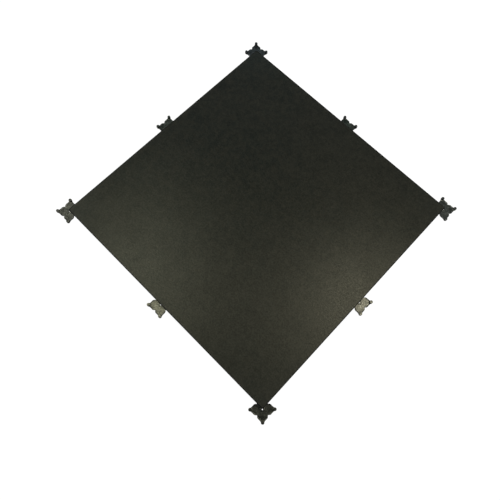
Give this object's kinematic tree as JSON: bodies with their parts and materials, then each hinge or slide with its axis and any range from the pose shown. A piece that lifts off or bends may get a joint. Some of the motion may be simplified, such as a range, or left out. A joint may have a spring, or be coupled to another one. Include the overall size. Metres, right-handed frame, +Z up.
{
  "type": "stage riser platform",
  "caption": "Low square stage riser: a black textured deck seated on a folding lattice riser, with four-leaf hub plates whose pegs stand round the corners and edge middles.",
  "frame": {"origin": "on the floor under the middle of the deck", "axes": "+Z up out of the deck's top, X and Y along the deck's edges; the order's pictured near corner is at +X, -Y"},
  "size_m": [1.0696, 1.0696, 0.2],
  "materials": {
    "textured_black_sheet": "fine anti-slip texture",
    "birch_plywood": "sanded",
    "galvanised_sheet": "galvanised",
    "black_anodised_aluminium": "black anodised",
    "black_painted_casting": "satin black paint",
    "black_powder_coated_tube": "powder coat",
    "zinc_plated_steel": "zinc plated",
    "black_rubber": "moulded"
  },
  "bodies": {
    "centre_hub": {"hub_plate_centre": "black_painted_casting", "bottom_link_centre": "black_painted_casting"},
    "deck": {"deck_surface": "textured_black_sheet", "deck_board": "birch_plywood", "deck_backing_sheet": "galvanised_sheet", "edge_trim_right": "black_anodised_aluminium", "edge_trim_back": "black_anodised_aluminium", "edge_trim_left": "black_anodised_aluminium", "edge_trim_front": "black_anodised_aluminium", "corner_cap_back_right": "black_anodised_aluminium", "corner_cap_back_left": "black_anodised_aluminium", "corner_cap_front_left": "black_anodised_aluminium", "corner_cap_front_right": "black_anodised_aluminium"},
    "corner_frame_back_right_body": {"corner_frame_back_right": "black_powder_coated_tube", "foot_inner_back_right": "black_rubber", "foot_corner_back_right": "black_rubber", "pivot_rod_back_right": "zinc_plated_steel", "pivot_nut_back_right": "zinc_plated_steel"},
    "side_frame_back_right_body": {"side_frame_back_right": "black_powder_coated_tube", "foot_side_a_back_right": "black_rubber", "foot_side_b_back_right": "black_rubber"},
    "corner_hub_back_right": {"hub_plate_back_right": "black_painted_casting"},
    "corner_frame_back_left_body": {"corner_frame_back_left": "black_powder_coated_tube", "foot_inner_back_left": "black_rubber", "foot_corner_back_left": "black_rubber", "pivot_rod_back_left": "zinc_plated_steel", "pivot_nut_back_left": "zinc_plated_steel"},
    "side_frame_back_left_body": {"side_frame_back_left": "black_powder_coated_tube", "foot_side_a_back_left": "black_rubber", "foot_side_b_back_left": "black_rubber"},
    "corner_hub_back_left": {"hub_plate_back_left": "black_painted_casting"},
    "corner_frame_front_left_body": {"corner_frame_front_left": "black_powder_coated_tube", "foot_inner_front_left": "black_rubber", "foot_corner_front_left": "black_rubber", "pivot_rod_front_left": "zinc_plated_steel", "pivot_nut_front_left": "zinc_plated_steel"},
    "side_frame_front_left_body": {"side_frame_front_left": "black_powder_coated_tube", "foot_side_a_front_left": "black_rubber", "foot_side_b_front_left": "black_rubber"},
    "corner_hub_front_left": {"hub_plate_front_left": "black_painted_casting"},
    "corner_frame_front_right_body": {"corner_frame_front_right": "black_powder_coated_tube", "foot_inner_front_right": "black_rubber", "foot_corner_front_right": "black_rubber", "pivot_rod_front_right": "zinc_plated_steel", "pivot_nut_front_right": "zinc_plated_steel"},
    "side_frame_front_right_body": {"side_frame_front_right": "black_powder_coated_tube", "foot_side_a_front_right": "black_rubber", "foot_side_b_front_right": "black_rubber"},
    "corner_hub_front_right": {"hub_plate_front_right": "black_painted_casting"},
    "edge_hub_right": {"hub_plate_right": "black_painted_casting", "bottom_link_right": "black_painted_casting"},
    "edge_hub_back": {"hub_plate_back": "black_painted_casting", "bottom_link_back": "black_painted_casting"},
    "edge_hub_left": {"hub_plate_left": "black_painted_casting", "bottom_link_left": "black_painted_casting"},
    "edge_hub_front": {"hub_plate_front": "black_painted_casting", "bottom_link_front": "black_painted_casting"}
  },
  "joints": [
    {"name": "deck_lift", "type": "slide", "parent": "centre_hub", "child": "deck", "axis": [0, 0, 1], "range_m": [0, 1]},
    {"name": "corner_frame_fold_back_right", "type": "hinge", "parent": "centre_hub", "child": "corner_frame_back_right_body", "pos_m": [0.02934, 0.02934, 0.1], "axis": [0, 0, 1], "range_deg": [0, 42.6]},
    {"name": "side_frame_fold_back_right", "type": "hinge", "parent": "corner_frame_back_right_body", "child": "side_frame_back_right_body", "pos_m": [0.25, 0.25, 0.1], "axis": [0, 0, 1], "range_deg": [-85, 0]},
    {"name": "corner_hub_turn_back_right", "type": "hinge", "parent": "corner_frame_back_right_body", "child": "corner_hub_back_right", "pos_m": [0.47065, 0.47065, 0.1], "axis": [0, 0, 1], "range_deg": [-42.6, 0]},
    {"name": "corner_frame_fold_back_left", "type": "hinge", "parent": "centre_hub", "child": "corner_frame_back_left_body", "pos_m": [-0.02934, 0.02934, 0.1], "axis": [0, 0, 1], "range_deg": [-42.6, 0]},
    {"name": "side_frame_fold_back_left", "type": "hinge", "parent": "corner_frame_back_left_body", "child": "side_frame_back_left_body", "pos_m": [-0.25, 0.25, 0.1], "axis": [0, 0, 1], "range_deg": [0, 85]},
    {"name": "corner_hub_turn_back_left", "type": "hinge", "parent": "corner_frame_back_left_body", "child": "corner_hub_back_left", "pos_m": [-0.47065, 0.47065, 0.1], "axis": [0, 0, 1], "range_deg": [0, 42.6]},
    {"name": "corner_frame_fold_front_left", "type": "hinge", "parent": "centre_hub", "child": "corner_frame_front_left_body", "pos_m": [-0.02934, -0.02934, 0.1], "axis": [0, 0, 1], "range_deg": [0, 42.6]},
    {"name": "side_frame_fold_front_left", "type": "hinge", "parent": "corner_frame_front_left_body", "child": "side_frame_front_left_body", "pos_m": [-0.25, -0.25, 0.1], "axis": [0, 0, 1], "range_deg": [-85, 0]},
    {"name": "corner_hub_turn_front_left", "type": "hinge", "parent": "corner_frame_front_left_body", "child": "corner_hub_front_left", "pos_m": [-0.47065, -0.47065, 0.1], "axis": [0, 0, 1], "range_deg": [-42.6, 0]},
    {"name": "corner_frame_fold_front_right", "type": "hinge", "parent": "centre_hub", "child": "corner_frame_front_right_body", "pos_m": [0.02934, -0.02934, 0.1], "axis": [0, 0, 1], "range_deg": [-42.6, 0]},
    {"name": "side_frame_fold_front_right", "type": "hinge", "parent": "corner_frame_front_right_body", "child": "side_frame_front_right_body", "pos_m": [0.25, -0.25, 0.1], "axis": [0, 0, 1], "range_deg": [0, 85]},
    {"name": "corner_hub_turn_front_right", "type": "hinge", "parent": "corner_frame_front_right_body", "child": "corner_hub_front_right", "pos_m": [0.47065, -0.47065, 0.1], "axis": [0, 0, 1], "range_deg": [0, 42.6]},
    {"name": "edge_hub_turn_right", "type": "hinge", "parent": "side_frame_back_right_body", "child": "edge_hub_right", "pos_m": [0.47065, 0.02934, 0.1], "axis": [0, 0, 1], "range_deg": [0, 42.6]},
    {"name": "edge_hub_turn_back", "type": "hinge", "parent": "side_frame_back_left_body", "child": "edge_hub_back", "pos_m": [-0.02934, 0.47065, 0.1], "axis": [0, 0, 1], "range_deg": [-42.6, 0]},
    {"name": "edge_hub_turn_left", "type": "hinge", "parent": "side_frame_front_left_body", "child": "edge_hub_left", "pos_m": [-0.47065, -0.02934, 0.1], "axis": [0, 0, 1], "range_deg": [0, 42.6]},
    {"name": "edge_hub_turn_front", "type": "hinge", "parent": "side_frame_front_right_body", "child": "edge_hub_front", "pos_m": [0.02934, -0.47065, 0.1], "axis": [0, 0, 1], "range_deg": [-42.6, 0]}
  ],
  "couplings": [
    {"joint": "corner_frame_fold_back_right", "follows": "deck_lift", "rad_per_m": 0.74},
    {"joint": "side_frame_fold_back_right", "follows": "deck_lift", "rad_per_m": -1.48},
    {"joint": "corner_hub_turn_back_right", "follows": "deck_lift", "rad_per_m": -0.74},
    {"joint": "corner_frame_fold_back_left", "follows": "deck_lift", "rad_per_m": -0.74},
    {"joint": "side_frame_fold_back_left", "follows": "deck_lift", "rad_per_m": 1.48},
    {"joint": "corner_hub_turn_back_left", "follows": "deck_lift", "rad_per_m": 0.74},
    {"joint": "corner_frame_fold_front_left", "follows": "deck_lift", "rad_per_m": 0.74},
    {"joint": "side_frame_fold_front_left", "follows": "deck_lift", "rad_per_m": -1.48},
    {"joint": "corner_hub_turn_front_left", "follows": "deck_lift", "rad_per_m": -0.74},
    {"joint": "corner_frame_fold_front_right", "follows": "deck_lift", "rad_per_m": -0.74},
    {"joint": "side_frame_fold_front_right", "follows": "deck_lift", "rad_per_m": 1.48},
    {"joint": "corner_hub_turn_front_right", "follows": "deck_lift", "rad_per_m": 0.74},
    {"joint": "edge_hub_turn_right", "follows": "deck_lift", "rad_per_m": 0.74},
    {"joint": "edge_hub_turn_back", "follows": "deck_lift", "rad_per_m": -0.74},
    {"joint": "edge_hub_turn_left", "follows": "deck_lift", "rad_per_m": 0.74},
    {"joint": "edge_hub_turn_front", "follows": "deck_lift", "rad_per_m": -0.74}
  ]
}
